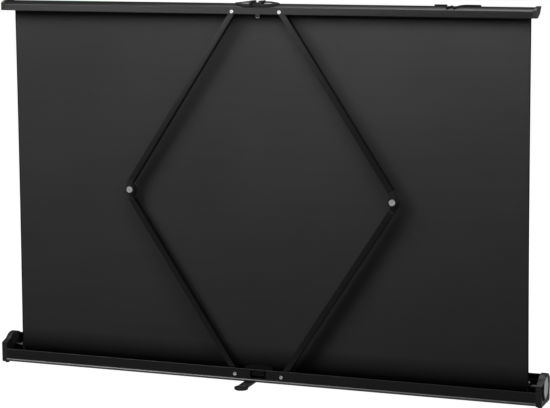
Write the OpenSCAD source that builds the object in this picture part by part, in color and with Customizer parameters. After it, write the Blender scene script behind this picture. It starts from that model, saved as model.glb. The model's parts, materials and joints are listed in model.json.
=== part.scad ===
// Tabletop pull-up projection screen, open, standing on its case.
// X runs along the case, +Y points to the back of the screen and +Z up.
// The origin is on the table, under the middle of the case.

/* [Case] */
// Overall length of the case over its end caps
case_l = 1200; // [1100:10:1400]
// Depth of the case from front to back
case_d = 72; // [70:1:84]
// Gap between the table and the underside of the case
underside_z = 5.5; // [5.2:0.1:9]
// Height of the low rear wall above the underside
rear_wall_h = 27; // [25:0.5:32]
// Wall thickness of the aluminium case
case_wall = 2.5; // [2:0.1:3]
// Radius of the bead along the foot of each wall
bead_r = 3; // [2:0.1:4]
// How far the curled front wall reaches back over the case
front_curl = 12; // [9:0.5:13]

/* [End caps] */
// Thickness of a case end cap
cap_t = 12; // [9:0.5:14]
// Height of an end cap's straight rear edge above the table
cap_shoulder_z = 46; // [44:0.5:48]
// Height of the end cap's hump above the table
cap_top_z = 63; // [61:0.5:66]
// Radius of the end cap's hump
hump_r = 36; // [35.5:0.1:38]
// Distance of the hump's centre in front of the middle of the case
hump_front = 8; // [7.5:0.1:8.5]
// How far the case's shell lies inside the end caps' hump
cap_inset = 1.5; // [1:0.1:2.5]
// Gap between the table and the underside of an end cap
cap_z = 3; // [2:0.1:4]
// Radius of a rubber foot under an end cap
foot_r = 4.5; // [3:0.1:5]
// Distance of the rear screw port from the rear wall
rear_port_in = 12.5; // [12:0.5:14]
// Radius of a screw port in the case
port_r = 2.9; // [2.5:0.1:3]
// Radius of a cap screw's shank
screw_r = 1.75; // [1.5:0.05:1.8]

/* [Round end cover] */
// Radius of the round cover on the right end cap
disc_r = 26.5; // [20:0.5:26.5]
// Thickness of the round cover
disc_t = 4; // [4:0.1:6]
// Radius of the bright plate let into the cover
plate_r = 22.5; // [15:0.5:24]
// Thickness of the bright plate
plate_t = 0.9; // [0.6:0.1:1]
// Depth of the bright plate's face below the cover's rim
plate_recess = 2.2; // [0.3:0.1:2.2]
// Height of the cover's centre above the table
disc_z = 37.5; // [37:0.5:38]
// Place of the cover's centre behind the middle of the case
disc_y = 7; // [4:0.5:7]

/* [Roller] */
// Outer radius of the roller tube
roller_r = 11; // [9.5:0.1:11.2]
// Wall thickness of the roller tube
roller_wall = 1.2; // [1:0.1:2]
// Distance of the roller's axis in front of the middle of the case
roller_front = 6; // [5:0.5:9]
// Height of the roller's axis above the table
roller_z = 34; // [30:0.5:34]
// Thickness of the turns left on the roller
turns_t = 0.7; // [0.5:0.1:1]
// Radius of the roller's axles
axle_r = 4; // [3:0.1:4.5]
// Outer radius of the bush that carries the turning axle
bush_r = 6; // [5.5:0.1:7]
// Depth of the axle sockets in the end caps
socket_d = 8; // [6:0.5:8.5]
// Wire radius of the roller's torsion spring
spring_wire_r = 0.8; // [0.5:0.1:1]
// Length of the torsion spring
spring_l = 82; // [60:1:120]
// Number of turns of the torsion spring
spring_turns = 24; // [10:1:24]

/* [Screen] */
// Distance of the fabric's side edge from the end of the case
sheet_margin = 38; // [35:1:60]
// Thickness of the screen fabric
sheet_t = 0.6; // [0.4:0.1:1]

/* [Top bar] */
// How far each end of the top bar stays short of the end of the case
bar_inset = 20; // [18:1:28]
// Depth of the top bar
bar_d = 57; // [50:0.5:58]
// Height of the top bar's rear face
bar_face_h = 13.4; // [13:0.1:16]
// Rise of the top bar's crown above its rear face
bar_rise = 6.8; // [6.5:0.1:9]
// Wall thickness of the top bar
bar_wall = 2; // [1.6:0.1:2.2]
// Thickness of a top bar end cap
bar_cap_t = 8; // [5:0.5:10]
// How far the end cap's rim stands above the bar's crown
bar_cap_proud = 2.2; // [1:0.1:3]
// Radius of the rod that holds the fabric's top edge
hem_rod_r = 1.8; // [1.4:0.1:1.8]

/* [Linkage] */
// Length of an arm from pivot to pivot
arm_l = 445.4; // [430:0.2:460]
// Angle between an arm and the vertical when the screen is up
open_angle = 32.2; // [25:0.1:40]
// Distance between the two pivots on the case or on the top bar
pivot_span = 103; // [98:1:140]
// Height of the case pivots above the underside
pivot_z = 14.3; // [14.3:0.1:17]
// Height of the bar pivots above the bar's lower edge
bar_pivot_z = 4.6; // [4.5:0.1:6]
// Width of an arm tube across the linkage
arm_w = 12; // [10:0.5:12]
// Depth of an arm tube from front to back
arm_d = 14; // [12:0.5:15]
// Wall thickness of an arm tube
arm_wall = 1.5; // [1:0.1:2.5]
// Distance of an elbow pivot from the middle line of its tubes
elbow_offset = 8.5; // [7.5:0.1:9]
// Distance from the end of a tube to the elbow pivot
elbow_reach = 20; // [18:0.5:30]
// Radius of the round elbow knuckles
knuckle_r = 10.5; // [8:0.1:11]
// Radius of an elbow bolt's cap
elbow_cap_r = 7; // [5:0.1:8]
// Thickness of an elbow bolt's cap
elbow_cap_t = 2.4; // [1.6:0.1:3]
// Height of an elbow bolt's nut
elbow_nut_t = 4; // [2.4:0.1:4.5]
// Radius of an elbow bolt's shank
elbow_pin_r = 3; // [2:0.1:4]
// Radius of a pivot rivet's shank
rivet_r = 2.5; // [2:0.1:3]
// Radius of a pivot rivet's head
rivet_head_r = 4.5; // [3.5:0.1:4.5]

/* [Latch] */
// Width of the catch block inside the case
catch_w = 60; // [50:1:80]
// Height of the catch block's crown above the rear wall
catch_proud = 8; // [4:0.5:9]
// Width of the thumb slider's window
window_w = 35; // [24:1:44]
// Height of the thumb slider's window
window_h = 15; // [14:0.5:17]
// Travel of the thumb slider
slider_travel = 3.5; // [2:0.1:4]
// Length of the tongue below the top bar
tongue_drop = 8.7; // [6:0.1:10]
// Width of the tongue
tongue_w = 8; // [6:0.5:12]
// Thickness of the tongue
tongue_t = 2.5; // [2:0.1:3]

/* [Swivel foot] */
// Distance from the foot's pivot to the middle of its round end
foot_reach = 78; // [52:1:85]
// Radius of the foot's round ends
foot_end_r = 14.5; // [12:0.5:18]
// Thickness of the foot lever
foot_t = 4.2; // [3:0.1:4.2]
// Thickness of the rubber under the foot lever
foot_pad_t = 1; // [0.6:0.1:1]
// Place of the foot's pivot along the case
foot_x = 22; // [0:1:60]
// Place of the foot's pivot behind the middle of the case
foot_y = 4; // [0:0.5:5]
// Angle of the opened foot away from straight back
foot_angle = -2; // [-10:1:20]
// Radius of the foot's pivot pin
foot_pin_r = 3; // [2:0.1:4]

/* [Carry handle] */
// Place of the handle along the top bar
handle_x = 1.5; // [0:0.5:4]
// Length of one grip loop from its hinge to its tip
loop_l = 38; // [32:1:45]
// Width of a grip loop across the top bar
loop_w = 28; // [26:0.5:30]
// Width of a grip loop's rail
loop_rail = 3.2; // [2.6:0.1:4]
// Thickness of a grip loop above its gap over the bar
loop_t = 3.5; // [2.5:0.1:4]
// Distance between the hinges of the two grip loops
loop_span = 20.5; // [19:0.5:30]
// Height of the loop hinges above the bar's crown
loop_hinge_h = 3.6; // [3.6:0.1:5]
// Radius of a grip loop's hinge eye
eye_r = 3.2; // [3:0.1:3.3]
// Radius of a grip loop's hinge pin
loop_pin_r = 1.5; // [1:0.1:2]
// Distance of the handle's middle in front of the bar's rear face
handle_in = 16; // [16:0.5:20]

/* [Wire clip] */
// Distance of the wire clip's middle from the end of the top bar
clip_in = 165; // [120:5:200]
// Length of the wire clip
clip_l = 94; // [80:1:110]
// Thickness of the clip's wire
clip_t = 3; // [2:0.1:4]

/* [Hidden] */
$fn = 64;
fit = 0.05;
gap = 0.3;
seat = 0.1;
rear_y = case_d / 2;
cap_x = case_l / 2;
body_x = cap_x - cap_t;
rear_top_z = underside_z + rear_wall_h;
floor_z = underside_z + case_wall;
rear_in_y = rear_y - case_wall;
hump_y = -hump_front;
hump_z = cap_top_z - hump_r;
shell_r = hump_r - cap_inset;
front_y = -rear_y + 1;
port_z = floor_z + port_r - 0.2;
catch_y0 = rear_in_y - 14.5;
port_ys = [rear_in_y - rear_port_in, front_y + case_wall + port_r + 0.8];
high_port_y = front_y + case_wall + port_r - 0.5;
high_port_z = cap_shoulder_z - 4;
screw_depth = 14;
roller_y = -roller_front;
turns_r = roller_r + turns_t;
sheet_y = roller_y + turns_r + gap + sheet_t / 2;
sheet_w = case_l - 2 * sheet_margin;
tube_x = sheet_w / 2 + 3;
plug_flange = 3;
plug_l = 32;
plug_x = tube_x + plug_flange;
spring_x1 = plug_x - plug_l - seat - gap;
spring_x0 = spring_x1 - spring_l;
spring_mean_r = roller_r - roller_wall - spring_wire_r - 1.3;
collar_t = 6;
arm_y1 = rear_in_y - elbow_cap_t - 2 * gap;
arm_y0 = arm_y1 - arm_d;
pivot_x = pivot_span / 2;
low_z = underside_z + pivot_z;
high_z = low_z + 2 * arm_l * cos(open_angle);
elbow_z = (low_z + high_z) / 2;
bar_z = high_z - bar_pivot_z;
bar_front_y = rear_y - bar_d;
bar_mid_y = rear_y - bar_d / 2;
crown_r = (bar_d * bar_d / 4 + bar_rise * bar_rise) / (2 * bar_rise);
crown_z = bar_face_h + bar_rise - crown_r;
bar_l = case_l - 2 * bar_inset;
bar_x = bar_l / 2 - bar_cap_t;
clip_x = bar_l / 2 - clip_in;
rod_ring_r = hem_rod_r + gap;
rod_shell_r = rod_ring_r + 1.2;
rod_z = bar_face_h + bar_rise - bar_wall - rod_shell_r - 3.6;
bar_split_y = sheet_y - rod_shell_r - 0.8;
slot_w = sheet_t + 2 * gap + 0.4;
tilt = asin(elbow_offset / arm_l);
elbow_u = sqrt(arm_l * arm_l - elbow_offset * elbow_offset);
tube_u = elbow_u - elbow_reach;
block_l = 6;
knuckle_gap = 0.8;
lower_y1 = arm_y0 + (arm_d - knuckle_gap) / 2;
upper_y0 = lower_y1 + knuckle_gap;
slider_y1 = rear_y - 0.6;
slider_y0 = rear_in_y - 5.2;
window_z = rear_top_z - 3.4 - window_h;
slider_h = window_h - slider_travel - 2;
slider_z = window_z + window_h - slider_h - 0.5;
tongue_y = rear_in_y - 9.3;
slot_y0 = tongue_y - tongue_t / 2 - 2;
slot_y1 = tongue_y + tongue_t / 2 + 1.2;
latch_nose_h = 5;
latch_spring_r = 2;
latch_spring_wire_r = 0.4;
latch_spring_y = rear_in_y - latch_spring_r - latch_spring_wire_r - 0.5;
handle_y = rear_y - handle_in;
handle_z = bar_z + crown_z + sqrt(crown_r * crown_r - pow(handle_y - bar_mid_y, 2));
hinge_z = bar_z + bar_face_h + bar_rise + loop_hinge_h;
loop_gap = 1;
hub_w = loop_w - 2 * loop_rail - 2 * gap;
foot_z1 = foot_pad_t + foot_t;
foot_head_r = 2 * foot_pin_r;
foot_head_t = 1.5;
foot_washer_t = 2;

// Shared shapes

// Runs a Y-Z outline along X from x0 to x1
module run_x(x0, x1) {
    translate([x0, 0, 0])
        rotate([90, 0, 90])
            linear_extrude(x1 - x0)
                children();
}

// Runs an X-Z outline along Y from y0 to y1
module run_y(y0, y1) {
    translate([0, y1, 0])
        rotate([90, 0, 0])
            linear_extrude(y1 - y0)
                children();
}

module rod_x(x0, x1, r) {
    translate([x0, 0, 0])
        rotate([0, 90, 0])
            cylinder(h = x1 - x0, r = r);
}

module rod_y(y0, y1, r) {
    translate([0, y1, 0])
        rotate([90, 0, 0])
            cylinder(h = y1 - y0, r = r);
}

// A dome of height h and base radius r, standing on its base along +Z
module dome(r, h) {
    ball = (r * r + h * h) / (2 * h);
    intersection() {
        translate([0, 0, h - ball])
            sphere(r = ball, $fn = 96);
        cylinder(h = h, r = r);
    }
}

// One point of a wire wound along +X from x = 0, at a turn and a side of its section
function coil_point(turn, side, sides, r, wire_r, pitch) =
    let (along = 360 * turn, round = 360 * side / sides, k = r + wire_r * cos(round))
    [turn * pitch + wire_r * sin(round), k * cos(along), k * sin(along)];

// A helical spring along +X, one tube of 8 rings to a turn and 6 sides
module coil(turns, r, wire_r, pitch) {
    sides = 6;
    rings = 8 * turns;
    last = rings * sides;
    points = [for (i = [0:rings], j = [0:sides - 1])
        coil_point(i / 8, j, sides, r, wire_r, pitch)];
    walls = [for (i = [0:rings - 1], j = [0:sides - 1], half = [0, 1])
        let (a = i * sides + j, b = i * sides + (j + 1) % sides)
        half == 0 ? [a, b, b + sides] : [a, b + sides, a + sides]];
    start_face = [for (j = [1:sides - 2]) [0, j + 1, j]];
    end_face = [for (j = [1:sides - 2]) [last, last + j, last + j + 1]];
    polyhedron(points = points, faces = concat(start_face, walls, end_face));
    next_turns = [for (i = [0:rings - 8]) norm(points[(i + 8) * sides] - points[i * sides])];
    echo("Least gap between a spring's turns, mm:", min(next_turns) - 2 * wire_r);
}

// Case

// The end cap's outline: a straight rear edge, a sloping shoulder and a round hump
module cap_outline() {
    corner = 3;
    shoulder_y = rear_y / 2;
    shoulder_z = hump_z + sqrt(hump_r * hump_r - pow(shoulder_y - hump_y, 2));
    front_z = hump_z + sqrt(hump_r * hump_r - pow(rear_y + hump_y, 2));
    polygon([
        [-rear_y, cap_z + corner], [-rear_y + corner, cap_z], [rear_y - corner, cap_z],
        [rear_y, cap_z + corner], [rear_y, cap_shoulder_z], [shoulder_y, shoulder_z],
        [hump_y, hump_z], [-rear_y, front_z]
    ]);
    intersection() {
        translate([hump_y, hump_z])
            circle(r = hump_r, $fn = 180);
        translate([-rear_y, hump_z])
            square([rear_y + shoulder_y, hump_r + 1]);
    }
}

module case_outline() {
    tip_r = case_wall / 2;
    shell_z = hump_z + sqrt(shell_r * shell_r - pow(front_y - hump_y, 2));
    curl_y = front_y + front_curl;
    translate([front_y, underside_z])
        square([rear_y - front_y, case_wall]);
    difference() {
        union() {
            translate([rear_in_y, underside_z])
                square([case_wall, rear_wall_h - tip_r]);
            translate([rear_in_y + tip_r, rear_top_z - tip_r])
                circle(r = tip_r);
            intersection() {
                translate([rear_y - 1, underside_z + bead_r])
                    circle(r = bead_r);
                translate([rear_in_y, underside_z])
                    square(2 * bead_r + case_wall);
            }
        }
        translate([rear_y + 0.3, underside_z + 2 * bead_r + 0.9])
            circle(r = 0.8);
    }
    translate([front_y, underside_z])
        square([case_wall, shell_z - underside_z - 0.2]);
    intersection() {
        translate([front_y + 1, underside_z + bead_r])
            circle(r = bead_r);
        translate([front_y - 2 * bead_r, underside_z])
            square([2 * bead_r + case_wall, 2 * bead_r]);
    }
    intersection() {
        difference() {
            translate([hump_y, hump_z])
                circle(r = shell_r, $fn = 180);
            translate([hump_y, hump_z])
                circle(r = shell_r - case_wall, $fn = 180);
        }
        translate([front_y, shell_z - 2.5])
            square([curl_y - front_y, hump_r]);
    }
    for (y = port_ys) {
        translate([y, port_z])
            circle(r = port_r);
    }
    translate([high_port_y, high_port_z])
        circle(r = port_r);
}

module case_housing() {
    color([0.10, 0.10, 0.11])
    difference() {
        run_x(-body_x, body_x)
            case_outline();
        for (s = [-1, 1]) {
            for (y = port_ys) {
                translate([s * body_x, y, port_z])
                    rod_x(-screw_depth - 2, screw_depth + 2, screw_r);
            }
            translate([s * body_x, high_port_y, high_port_z])
                rod_x(-screw_depth - 2, screw_depth + 2, screw_r);
            translate([s * pivot_x, 0, low_z])
                rod_y(rear_in_y - 1, rear_y + 1, rivet_r + fit);
        }
        translate([-window_w / 2, rear_in_y - 1, window_z])
            cube([window_w, case_wall + 2, window_h]);
        translate([foot_x, foot_y, underside_z - 1])
            cylinder(h = case_wall + 2, r = foot_pin_r);
    }
}

// Every screw hole of an end cap, at x = 0 and along X
module cap_screw_holes(r, x0, x1) {
    for (y = port_ys) {
        translate([0, y, port_z])
            rod_x(x0, x1, r);
    }
    translate([0, high_port_y, high_port_z])
        rod_x(x0, x1, r);
}

module end_cap_left() {
    color([0.16, 0.16, 0.17])
    difference() {
        run_x(body_x, cap_x)
            cap_outline();
        translate([body_x, 0, 0])
            cap_screw_holes(screw_r + 0.2, -1, cap_t + 1);
        translate([body_x - 1, roller_y - axle_r * 0.75 - fit, roller_z - axle_r * 0.75 - fit])
            cube([socket_d + 1 + fit, axle_r * 1.5 + 2 * fit, axle_r * 1.5 + 2 * fit]);
    }
}

module end_cap_right() {
    color([0.16, 0.16, 0.17])
    difference() {
        run_x(-cap_x, -body_x)
            cap_outline();
        translate([-cap_x, 0, 0])
            cap_screw_holes(screw_r + 0.2, -1, cap_t + 1);
        translate([-body_x, roller_y, roller_z])
            rod_x(-socket_d - 0.2, 1, bush_r);
        translate([-cap_x, disc_y, disc_z])
            rod_x(-1, 2 + fit, disc_r * 0.4 + fit);
    }
}

module end_cap_screw() {
    head_r = 3.2;
    rod_x(-cap_t - screw_depth, 0, screw_r - 0.02);
    rotate([0, 90, 0])
        difference() {
            dome(head_r, 1.8);
            translate([-0.5, -2, 1])
                cube([1, 4, 2]);
            translate([-2, -0.5, 1])
                cube([4, 1, 2]);
        }
}

module end_cap_screws() {
    color([0.45, 0.45, 0.47])
    for (s = [0, 1]) {
        mirror([s, 0, 0])
            translate([cap_x, 0, 0]) {
                for (y = port_ys) {
                    translate([0, y, port_z])
                        end_cap_screw();
                }
                translate([0, high_port_y, high_port_z])
                    end_cap_screw();
            }
    }
}

module rubber_feet() {
    color([0.05, 0.05, 0.05])
    for (s = [-1, 1], t = [-1, 1]) {
        translate([s * (cap_x - cap_t / 2), t * (rear_y - 12), 0])
            cylinder(h = cap_z, r = foot_r);
    }
    color([0.05, 0.05, 0.05])
        cylinder(h = underside_z, r = foot_r);
}

module end_disc() {
    color([0.09, 0.09, 0.09])
    translate([-cap_x, disc_y, disc_z])
        difference() {
            union() {
                rod_x(-disc_t + 1, 0, disc_r);
                rod_x(-disc_t, 0, disc_r - 1);
                rod_x(0, 2, disc_r * 0.4);
            }
            rod_x(-disc_t - 1, -disc_t + plate_recess + plate_t, plate_r + fit);
            rod_x(-1.5, 3, disc_r * 0.2);
        }
}

module end_disc_plate() {
    color([0.78, 0.78, 0.79])
    translate([-cap_x - disc_t + plate_recess, disc_y, disc_z])
        difference() {
            rod_x(0, plate_t, plate_r);
            rod_x(-1, 0.25, plate_r - 3);
        }
}

// Roller

module roller_bush() {
    color([0.72, 0.70, 0.62])
    translate([-body_x, roller_y, roller_z])
        difference() {
            rod_x(-socket_d, 0, bush_r - 0.02);
            rod_x(-socket_d - 1, 1, axle_r + fit);
        }
}

module roller_axle() {
    color([0.62, 0.62, 0.64])
    translate([0, roller_y, roller_z])
        rod_x(-body_x - socket_d + 0.3, -plug_x + plug_l, axle_r);
}

module roller_tube() {
    color([0.68, 0.69, 0.70])
    translate([0, roller_y, roller_z])
        difference() {
            rod_x(-tube_x, tube_x, roller_r);
            rod_x(-tube_x - 1, tube_x + 1, roller_r - roller_wall);
        }
}

// A plug in the roller's end at +X, with a bore for its axle
module roller_plug(bore_r) {
    difference() {
        union() {
            rod_x(tube_x - plug_l + plug_flange, tube_x, roller_r - roller_wall - 0.02);
            rod_x(tube_x, plug_x, roller_r);
        }
        rod_x(tube_x - plug_l, plug_x + 1, bore_r);
    }
}

module roller_plug_left() {
    color([0.2, 0.2, 0.2])
    translate([0, roller_y, roller_z])
        roller_plug(axle_r + fit);
}

module roller_plug_right() {
    color([0.2, 0.2, 0.2])
    translate([0, roller_y, roller_z])
        mirror([1, 0, 0])
            roller_plug(axle_r + 0.01);
}

module spring_arbor() {
    color([0.62, 0.62, 0.64])
    translate([0, roller_y, roller_z]) {
        rod_x(spring_x0 - seat - collar_t, body_x, axle_r);
        rod_x(spring_x0 - seat - collar_t, spring_x0 - seat, spring_mean_r + spring_wire_r);
        translate([body_x - 0.01, -axle_r * 0.75, -axle_r * 0.75])
            cube([socket_d, axle_r * 1.5, axle_r * 1.5]);
    }
}

module roller_spring() {
    pitch = (spring_l - 2 * spring_wire_r) / spring_turns;
    color([0.5, 0.5, 0.52])
    translate([spring_x0 + spring_wire_r, roller_y, roller_z])
        coil(spring_turns, spring_mean_r, spring_wire_r, pitch);
}

module wound_fabric() {
    color([0.06, 0.06, 0.06])
    translate([0, roller_y, roller_z])
        difference() {
            rod_x(-sheet_w / 2, sheet_w / 2, turns_r);
            rod_x(-tube_x, tube_x, roller_r + 0.01);
        }
}

module screen_sheet() {
    color([0.14, 0.14, 0.14])
    translate([-sheet_w / 2, sheet_y - sheet_t / 2, roller_z])
        cube([sheet_w, sheet_t, bar_z + rod_z - hem_rod_r - gap - fit - roller_z]);
}

// Latch

module latch_catch() {
    top_r = 95;
    crown = rear_top_z + catch_proud;
    nose_z = slider_z + slider_h - latch_nose_h - slider_travel - 0.5;
    step_y = port_ys[0] + port_r + gap;
    step_z = port_z + port_r + gap;
    color([0.07, 0.07, 0.07])
    difference() {
        intersection() {
            translate([-catch_w / 2, catch_y0, floor_z])
                cube([catch_w, rear_in_y - catch_y0, crown - floor_z]);
            translate([0, 0, crown - top_r])
                rod_y(catch_y0 - 1, rear_in_y + 1, top_r, $fn = 180);
        }
        translate([-catch_w / 2 - 1, catch_y0 - 1, floor_z - 1])
            cube([catch_w + 2, step_y - catch_y0 + 1, step_z - floor_z + 1]);
        translate([-tongue_w / 2 - 0.7, slot_y0, rear_top_z - tongue_drop - 2.5])
            cube([tongue_w + 1.4, slot_y1 - slot_y0, tongue_drop + catch_proud + 4]);
        translate([-window_w / 2 - 1.5, slider_y0 - gap, window_z])
            cube([window_w + 3, rear_in_y + 1 - slider_y0 + gap, window_h]);
        translate([-tongue_w / 2 - 0.5, tongue_y, nose_z])
            cube([tongue_w + 1, rear_in_y - tongue_y, latch_nose_h + slider_travel + 1]);
        translate([0, latch_spring_y, floor_z + 1])
            cylinder(h = window_z - floor_z, r = latch_spring_r + latch_spring_wire_r + 0.5);
    }
}

module latch_slider() {
    thumb_w = window_w - 7;
    nose_y = tongue_y + tongue_t / 2 + gap;
    color([0.12, 0.12, 0.12])
    difference() {
        union() {
            translate([-window_w / 2 - 1, slider_y0, slider_z])
                cube([window_w + 2, rear_in_y - gap - slider_y0, slider_h]);
            translate([-thumb_w / 2, slider_y0, slider_z])
                cube([thumb_w, slider_y1 - slider_y0, slider_h]);
            translate([-tongue_w / 2, nose_y, slider_z + slider_h - latch_nose_h])
                cube([tongue_w, slider_y0 + 0.1 - nose_y, latch_nose_h]);
        }
        for (k = [1:3]) {
            translate([-thumb_w / 2 - 1, slider_y1, slider_z + k * slider_h / 4])
                rotate([0, 90, 0])
                    cylinder(h = thumb_w + 2, r = 0.7, $fn = 24);
        }
    }
}

module latch_spring() {
    turns = 5;
    z0 = floor_z + 1 + seat;
    pitch = (slider_z - seat - z0 - 2 * latch_spring_wire_r) / turns;
    color([0.5, 0.5, 0.52])
    translate([0, latch_spring_y, z0 + latch_spring_wire_r])
        rotate([0, -90, 0])
            coil(turns, latch_spring_r, latch_spring_wire_r, pitch);
}

module latch_tongue() {
    plate_z = bar_z + catch_proud + 0.5 + gap;
    color([0.55, 0.55, 0.57]) {
        difference() {
            translate([-tongue_w / 2, tongue_y - tongue_t / 2, bar_z - tongue_drop])
                cube([tongue_w, tongue_t, plate_z - bar_z + tongue_drop + tongue_t]);
            translate([-tongue_w / 4, tongue_y - tongue_t, bar_z - tongue_drop + 2])
                cube([tongue_w / 2, 2 * tongue_t, 3]);
        }
        translate([-tongue_w / 2, tongue_y, plate_z])
            cube([tongue_w, rear_y - bar_wall - tongue_y, tongue_t]);
    }
}

// Swivel foot

module foot_pivot_pin() {
    head_z = foot_pad_t + seat;
    color([0.55, 0.55, 0.57])
    translate([foot_x, foot_y, 0]) {
        translate([0, 0, head_z])
            cylinder(h = foot_head_t, r = foot_head_r);
        translate([0, 0, head_z])
            cylinder(h = floor_z + foot_washer_t - head_z, r = foot_pin_r);
    }
}

module foot_pivot_washer() {
    color([0.55, 0.55, 0.57])
    translate([foot_x, foot_y, floor_z])
        difference() {
            cylinder(h = foot_washer_t, r = foot_head_r);
            translate([0, 0, -1])
                cylinder(h = foot_washer_t + 2, r = foot_pin_r);
        }
}

// Places its children at the foot's pivot, turned along the opened foot
module at_foot() {
    translate([foot_x, foot_y, 0])
        rotate([0, 0, -foot_angle])
            children();
}

module foot_pegs(r, z0, z1) {
    for (s = [-1, 1]) {
        translate([s * foot_end_r * 0.3, foot_reach - foot_end_r * 0.35, z0])
            cylinder(h = z1 - z0, r = r);
    }
}

module foot_lever() {
    neck = foot_end_r - 1.5;
    color([0.11, 0.11, 0.11])
    at_foot()
        difference() {
            union() {
                translate([0, 0, foot_pad_t])
                    cylinder(h = foot_t, r = foot_end_r);
                translate([0, foot_reach, foot_pad_t])
                    cylinder(h = foot_t, r = foot_end_r);
                translate([-neck, 0, foot_pad_t])
                    cube([2 * neck, foot_reach, foot_t]);
            }
            cylinder(h = foot_pad_t + seat + foot_head_t + gap, r = foot_head_r + gap);
            cylinder(h = foot_z1 + 1, r = foot_pin_r + fit);
            foot_pegs(2.4, 0, foot_z1 + 1);
        }
}

module foot_pad() {
    color([0.04, 0.04, 0.04])
    at_foot() {
        translate([0, foot_reach, 0])
            cylinder(h = foot_pad_t, r = foot_end_r - 1.5);
        foot_pegs(2.35, foot_pad_t - 0.01, foot_z1);
    }
}

// Linkage

// Mirrors the lower left arm's pieces to one of the four places
module arm_place(upper, right) {
    mirror([right, 0, 0])
        translate([0, 0, upper * 2 * elbow_z])
            mirror([0, 0, upper])
                translate([pivot_x, 0, low_z])
                    rotate([0, open_angle - 90 + tilt, 0])
                        children();
}

// An arm tube along +X from its pivot, its elbow pivot lying on the +Z side
module arm_tube(hole_r) {
    inner_w = arm_w - 2 * arm_wall;
    difference() {
        run_y(arm_y0, arm_y1)
            union() {
                circle(r = arm_w / 2);
                translate([0, -arm_w / 2])
                    square([tube_u, arm_w]);
            }
        translate([arm_w, arm_y0 + arm_wall, -inner_w / 2])
            cube([tube_u, arm_d - 2 * arm_wall, inner_w]);
        rod_y(arm_y0 - 1, arm_y1 + 1, hole_r);
    }
}

// An elbow knuckle on its tube's end, its round tongue from y0 to y1
module knuckle(y0, y1) {
    inner_w = arm_w - 2 * arm_wall - 2 * fit;
    plug = 18;
    difference() {
        union() {
            translate([tube_u - plug, arm_y0 + arm_wall + fit, -inner_w / 2])
                cube([plug + 0.01, arm_d - 2 * arm_wall - 2 * fit, inner_w]);
            translate([tube_u, arm_y0, -arm_w / 2])
                cube([block_l, arm_d, arm_w]);
            run_y(y0, y1)
                union() {
                    translate([elbow_u, elbow_offset])
                        circle(r = knuckle_r);
                    polygon([
                        [tube_u + block_l - 0.01, -arm_w / 2],
                        [elbow_u + knuckle_r * cos(60), elbow_offset - knuckle_r * sin(60)],
                        [elbow_u - knuckle_r * cos(60), elbow_offset + knuckle_r * sin(60)],
                        [tube_u + block_l - 0.01, arm_w / 2]
                    ]);
                }
        }
        translate([elbow_u, 0, elbow_offset])
            rod_y(y0 - 1, y1 + 1, elbow_pin_r + fit);
    }
}

module elbow_bolt() {
    translate([elbow_u, 0, elbow_offset]) {
        rod_y(arm_y0 - gap - elbow_nut_t, arm_y1 + gap + 0.5, elbow_pin_r);
        translate([0, arm_y1 + gap, 0])
            rotate([-90, 0, 0])
                difference() {
                    union() {
                        cylinder(h = elbow_cap_t / 2, r = elbow_cap_r);
                        translate([0, 0, elbow_cap_t / 2])
                            dome(elbow_cap_r, elbow_cap_t / 2);
                    }
                    translate([0, 0, elbow_cap_t - 0.6])
                        cylinder(h = 2, r = elbow_cap_r * 0.3, $fn = 6);
                }
    }
}

module elbow_nut() {
    translate([elbow_u, 0, elbow_offset])
        difference() {
            run_y(arm_y0 - gap - elbow_nut_t, arm_y0 - gap)
                circle(r = 2 * elbow_pin_r, $fn = 6);
            rod_y(arm_y0 - gap - elbow_nut_t - 1, arm_y0, elbow_pin_r + 0.01);
        }
}

module elbow_washer() {
    translate([elbow_u, 0, elbow_offset])
        difference() {
            rod_y(lower_y1 + seat, upper_y0 - seat, knuckle_r - 1);
            rod_y(lower_y1, upper_y0, elbow_pin_r + fit);
        }
}

module lower_arm(right) {
    color([0.19, 0.19, 0.20])
    arm_place(0, right)
        arm_tube(rivet_r + fit);
}

module upper_arm(right, hole_r) {
    color([0.24, 0.24, 0.25])
    arm_place(1, right)
        arm_tube(hole_r);
}

module lower_knuckle(right) {
    color([0.13, 0.13, 0.13])
    arm_place(0, right)
        knuckle(arm_y0, lower_y1);
}

module upper_knuckle(right) {
    color([0.13, 0.13, 0.13])
    arm_place(1, right)
        knuckle(upper_y0, arm_y1);
}

module elbow_metal(right) {
    color([0.55, 0.55, 0.57])
    arm_place(0, right)
        children();
}

// A pivot rivet with a domed head behind its wall, a shoulder in front of the wall's
// inner face, and a flat head in front of the arm
module rivet(wall_in_y) {
    flat_t = 1.4;
    dome_t = 2;
    rod_y(arm_y0 - gap - flat_t, rear_y + 0.5, rivet_r);
    rod_y(arm_y0 - gap - flat_t, arm_y0 - gap, rivet_head_r);
    rod_y(arm_y1 + seat, wall_in_y, rivet_head_r - 0.5);
    translate([0, rear_y, 0])
        rotate([-90, 0, 0])
            difference() {
                dome(rivet_head_r, dome_t);
                translate([0, 0, dome_t - 0.8])
                    cylinder(h = dome_t, r = 1.2);
            }
}

module lower_rivets() {
    color([0.86, 0.86, 0.86])
    for (s = [-1, 1]) {
        translate([s * pivot_x, 0, low_z])
            rivet(rear_in_y);
    }
}

module upper_rivets() {
    color([0.86, 0.86, 0.86])
    for (s = [-1, 1]) {
        translate([s * pivot_x, 0, high_z])
            rivet(rear_y - bar_wall);
    }
}

// Top bar

// The crowned outline of the bar, grown by a margin at the top only
module crown_outline(grow, low_z) {
    intersection() {
        translate([bar_mid_y, crown_z])
            circle(r = crown_r + grow, $fn = 180);
        translate([bar_front_y, low_z])
            square([bar_d, bar_face_h + bar_rise + grow + 1 - low_z]);
    }
}

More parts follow.
